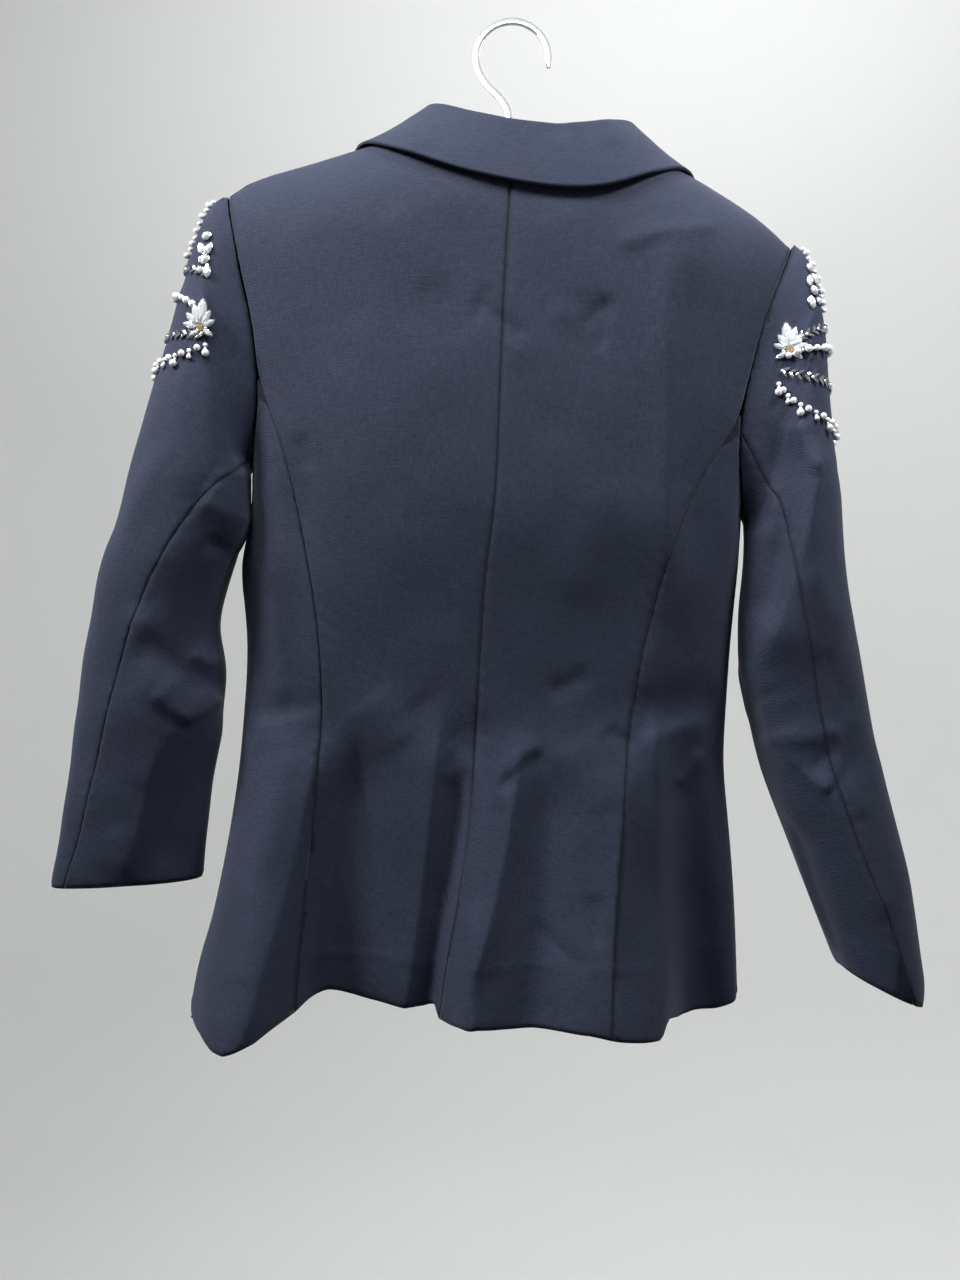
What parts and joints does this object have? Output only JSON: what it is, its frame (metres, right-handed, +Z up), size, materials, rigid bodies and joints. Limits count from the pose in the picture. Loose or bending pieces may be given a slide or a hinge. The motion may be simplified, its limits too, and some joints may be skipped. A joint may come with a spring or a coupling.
{
  "type": "beaded blazer on a clear plastic hanger",
  "caption": "Tailored blazer with a flared skirt, notched collar and beaded upper sleeves, hanging hollow on a clear plastic hanger.",
  "frame": {"origin": "highest point inside the hanger's hook, where it rests on a rod", "axes": "+Z up, -Y the way the garment's back faces, +X towards the wearer's right"},
  "size_m": [0.6054, 0.1589, 0.6997],
  "materials": {
    "suiting": "matt fine plain weave",
    "beading": "silver-white pearls and clear faceted stones",
    "button": "polished dark horn look",
    "hanger": "clear polished"
  },
  "bodies": {
    "root": {"back_left": "suiting", "back_right": "suiting", "side_back_left": "suiting", "side_back_right": "suiting", "front_left": "suiting", "front_right": "suiting", "lapel_left": "suiting", "lapel_right": "suiting", "top_sleeve_left": "suiting", "top_sleeve_right": "suiting", "under_sleeve_left": "suiting", "under_sleeve_right": "suiting", "collar": "suiting", "button": "button", "hanger": "hanger"}
  },
  "joints": []
}
